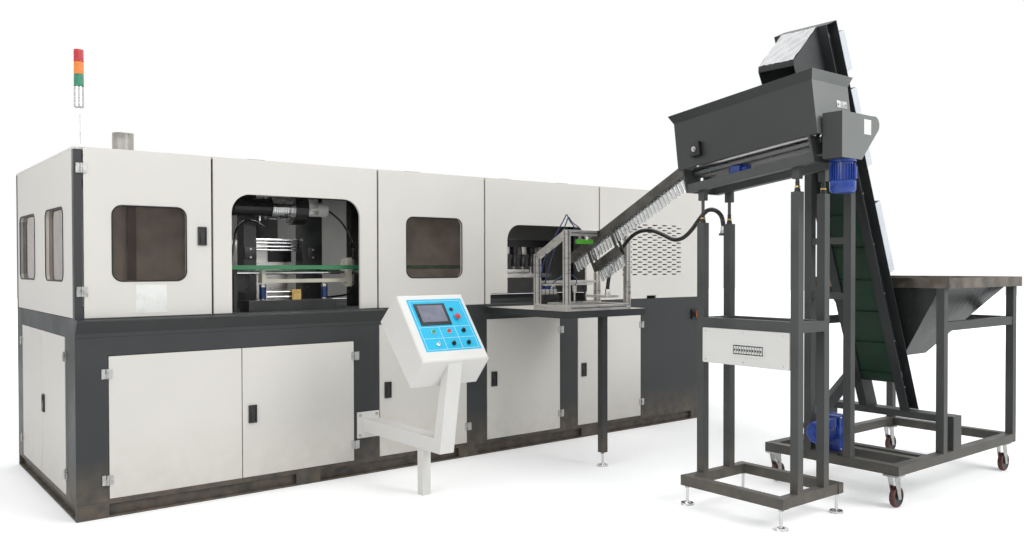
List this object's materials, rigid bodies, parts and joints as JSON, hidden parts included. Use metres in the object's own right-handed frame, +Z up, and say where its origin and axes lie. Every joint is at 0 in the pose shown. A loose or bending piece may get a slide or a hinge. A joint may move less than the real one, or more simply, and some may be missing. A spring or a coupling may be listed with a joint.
{
  "type": "blow moulding machine",
  "caption": "Linear stretch blow moulding line with guarded cabinet, operator console, side infeed table and loader, inclined preform sorter, hopper and cleated belt elevator.",
  "frame": {"origin": "on the floor, under the middle of the whole line's outline", "axes": "+X along the machine front to the right as seen by the operator, +Y into the machine from the front, +Z up"},
  "size_m": [5.435, 4.669, 2.8711],
  "materials": {
    "dark_frame": "slate grey texture coat",
    "warm_white": "warm off-white powder coat",
    "hinge_zinc": "zinc plated",
    "smoked_pane": "smoked brown acrylic",
    "foil": "crinkled foil and sheet",
    "lens": "translucent lamp lenses",
    "switch_orange": "orange switch grip",
    "console_white": "off-white coat",
    "fascia_blue": "cyan printed film",
    "screen_black": "glossy black bezel",
    "button_red": "gloss",
    "button_green": "gloss",
    "switch_black": "matt",
    "profile_alu": "clear anodised",
    "chute_steel": "brushed",
    "clear_preform": "clear moulded plastic",
    "conduit_black": "ribbed black conduit",
    "stand_grey": "grey coat",
    "roller_steel": "ground steel",
    "motor_blue": "blue enamel",
    "belt_green": "dark green cleated belt",
    "wheel_red": "dark red brown tread",
    "press_cream": "cream coat",
    "mould_metal": "machined"
  },
  "bodies": {
    "line": {"plinth_frame": "dark_frame", "base_cabinet": "dark_frame", "drip_ledge": "dark_frame", "upper_frame": "dark_frame", "infeed_table": "dark_frame", "blow_station_panel": "warm_white", "window_panel": "warm_white", "infeed_panel": "warm_white", "vent_panel": "warm_white", "outer_covers": "warm_white", "cabinet_hardware": "hinge_zinc", "window_panes": "smoked_pane", "exhaust_stub": "foil", "tower_light": "lens", "console_box": "console_white", "console_arm": "console_white", "breaker_box": "console_white", "console_fascia": "fascia_blue", "touch_screen": "screen_black", "loader_frame": "profile_alu", "infeed_chute": "chute_steel", "preforms": "clear_preform", "cable_conduit": "conduit_black", "sorter_frame": "stand_grey", "sorter_trough": "stand_grey", "elevator_frame": "stand_grey", "elevator_casing": "stand_grey", "hopper": "stand_grey", "drive_motors": "motor_blue", "elevator_belt": "belt_green", "press_frame": "press_cream"},
    "base_door_1": {"base_door_1": "warm_white"},
    "base_door_2": {"base_door_2": "warm_white"},
    "base_door_3": {"base_door_3": "warm_white"},
    "base_door_4": {"base_door_4": "warm_white"},
    "base_door_5": {"base_door_5": "warm_white"},
    "end_door_rear": {"end_door_rear": "warm_white"},
    "end_door_front": {"end_door_front": "warm_white"},
    "upper_door": {"upper_door": "warm_white", "upper_door_pane": "smoked_pane"},
    "isolator": {"isolator_handle": "switch_orange"},
    "start_button": {"start_button": "button_green"},
    "stop_button": {"stop_button": "button_red"},
    "e_stop_button": {"e_stop_button": "button_red"},
    "key_switch": {"key_switch": "switch_black"},
    "selector_switch_1": {"selector_switch_1": "switch_black"},
    "selector_switch_2": {"selector_switch_2": "switch_black"},
    "selector_switch_3": {"selector_switch_3": "switch_black"},
    "sorter_roller_1": {"sorter_roller_1": "roller_steel"},
    "sorter_roller_2": {"sorter_roller_2": "roller_steel"},
    "head_drum": {"head_drum": "roller_steel"},
    "tail_drum": {"tail_drum": "roller_steel"},
    "caster_wheel_1": {"caster_wheel_1": "wheel_red"},
    "caster_wheel_2": {"caster_wheel_2": "wheel_red"},
    "caster_wheel_3": {"caster_wheel_3": "wheel_red"},
    "caster_wheel_4": {"caster_wheel_4": "wheel_red"},
    "clamp_front": {"clamp_front": "mould_metal"},
    "clamp_rear": {"clamp_rear": "mould_metal"},
    "stretch_unit": {"stretch_unit": "press_cream"},
    "transfer_carriage": {"transfer_carriage": "press_cream"}
  },
  "joints": [
    {"name": "base_door_1_turn", "type": "hinge", "parent": "line", "child": "base_door_1", "pos_m": [-2.537, 0.4725, 0.5], "axis": [0, 0, -1], "range_deg": [0, 110]},
    {"name": "base_door_2_turn", "type": "hinge", "parent": "line", "child": "base_door_2", "pos_m": [-0.965, 0.4725, 0.5], "axis": [0, 0, 1], "range_deg": [0, 75]},
    {"name": "base_door_3_turn", "type": "hinge", "parent": "line", "child": "base_door_3", "pos_m": [-0.025, 0.4725, 0.5], "axis": [0, 0, 1], "range_deg": [0, 110]},
    {"name": "base_door_4_turn", "type": "hinge", "parent": "line", "child": "base_door_4", "pos_m": [0.905, 0.4725, 0.5], "axis": [0, 0, 1], "range_deg": [0, 110]},
    {"name": "base_door_5_turn", "type": "hinge", "parent": "line", "child": "base_door_5", "pos_m": [1.855, 0.4725, 0.5], "axis": [0, 0, 1], "range_deg": [0, 110]},
    {"name": "end_door_rear_turn", "type": "hinge", "parent": "line", "child": "end_door_rear", "pos_m": [-2.712, 2.1275, 0.5], "axis": [0, 0, -1], "range_deg": [0, 110]},
    {"name": "end_door_front_turn", "type": "hinge", "parent": "line", "child": "end_door_front", "pos_m": [-2.712, 0.7285, 0.5], "axis": [0, 0, 1], "range_deg": [0, 110]},
    {"name": "upper_door_turn", "type": "hinge", "parent": "line", "child": "upper_door", "pos_m": [-2.661, 0.4725, 1.6], "axis": [0, 0, -1], "range_deg": [0, 110]},
    {"name": "isolator_turn", "type": "hinge", "parent": "line", "child": "isolator", "pos_m": [2.566, 0.4595, 0.978], "axis": [0, -1, 0], "range_deg": [0, 90]},
    {"name": "start_button_slide", "type": "slide", "parent": "line", "child": "start_button", "axis": [0, 0.7891, -0.6143], "range_m": [0, 0.003], "stiffness_N_per_m": 500, "springref_m": -0.002},
    {"name": "stop_button_slide", "type": "slide", "parent": "line", "child": "stop_button", "axis": [0, 0.7891, -0.6143], "range_m": [0, 0.003], "stiffness_N_per_m": 500, "springref_m": -0.002},
    {"name": "e_stop_button_slide", "type": "slide", "parent": "line", "child": "e_stop_button", "axis": [0, 0.7891, -0.6143], "range_m": [0, 0.003], "stiffness_N_per_m": 500, "springref_m": -0.002},
    {"name": "key_switch_turn", "type": "hinge", "parent": "line", "child": "key_switch", "pos_m": [-0.9425, -0.51448, 0.96874], "axis": [0, -0.7891, 0.6143], "range_deg": [0, 60]},
    {"name": "selector_switch_1_turn", "type": "hinge", "parent": "line", "child": "selector_switch_1", "pos_m": [-0.7225, -0.45981, 1.03897], "axis": [0, -0.7891, 0.6143], "range_deg": [-45, 45]},
    {"name": "selector_switch_2_turn", "type": "hinge", "parent": "line", "child": "selector_switch_2", "pos_m": [-0.8315, -0.51448, 0.96874], "axis": [0, -0.7891, 0.6143], "range_deg": [-45, 45]},
    {"name": "selector_switch_3_turn", "type": "hinge", "parent": "line", "child": "selector_switch_3", "pos_m": [-0.7225, -0.51448, 0.96874], "axis": [0, -0.7891, 0.6143], "range_deg": [-45, 45]},
    {"name": "sorter_roller_1_turn", "type": "hinge", "parent": "line", "child": "sorter_roller_1", "pos_m": [0.437, -1.74121, 2.0536], "axis": [0, -0.9925, 0.1219], "continuous": true},
    {"name": "sorter_roller_2_turn", "type": "hinge", "parent": "line", "child": "sorter_roller_2", "pos_m": [0.543, -1.74121, 2.0536], "axis": [0, -0.9925, 0.1219], "continuous": true},
    {"name": "head_drum_turn", "type": "hinge", "parent": "line", "child": "head_drum", "pos_m": [0.86615, -1.7985, 2.77225], "axis": [0, 1, 0], "continuous": true},
    {"name": "tail_drum_turn", "type": "hinge", "parent": "line", "child": "tail_drum", "pos_m": [1.7369, -1.7985, 0.70083], "axis": [0, 1, 0], "continuous": true},
    {"name": "caster_wheel_1_turn", "type": "hinge", "parent": "line", "child": "caster_wheel_1", "pos_m": [1.165, -2.2055, 0.0625], "axis": [0, 1, 0], "continuous": true},
    {"name": "caster_wheel_2_turn", "type": "hinge", "parent": "line", "child": "caster_wheel_2", "pos_m": [1.165, -1.3925, 0.0625], "axis": [0, 1, 0], "continuous": true},
    {"name": "caster_wheel_3_turn", "type": "hinge", "parent": "line", "child": "caster_wheel_3", "pos_m": [2.63, -2.2055, 0.0625], "axis": [0, 1, 0], "continuous": true},
    {"name": "caster_wheel_4_turn", "type": "hinge", "parent": "line", "child": "caster_wheel_4", "pos_m": [2.63, -1.3925, 0.0625], "axis": [0, 1, 0], "continuous": true},
    {"name": "clamp_front_slide", "type": "slide", "parent": "line", "child": "clamp_front", "axis": [0, 1, 0], "range_m": [0, 0.088]},
    {"name": "clamp_rear_slide", "type": "slide", "parent": "line", "child": "clamp_rear", "axis": [0, 1, 0], "range_m": [-0.088, 0]},
    {"name": "stretch_unit_slide", "type": "slide", "parent": "line", "child": "stretch_unit", "axis": [0, 0, 1], "range_m": [-0.05, 0.06]},
    {"name": "transfer_carriage_slide", "type": "slide", "parent": "line", "child": "transfer_carriage", "axis": [1, 0, 0], "range_m": [-0.08, 0.06]}
  ],
  "couplings": [
    {"joint": "sorter_roller_2_turn", "follows": "sorter_roller_1_turn", "ratio": -1},
    {"joint": "tail_drum_turn", "follows": "head_drum_turn", "ratio": 1},
    {"joint": "clamp_rear_slide", "follows": "clamp_front_slide", "ratio": -1}
  ]
}
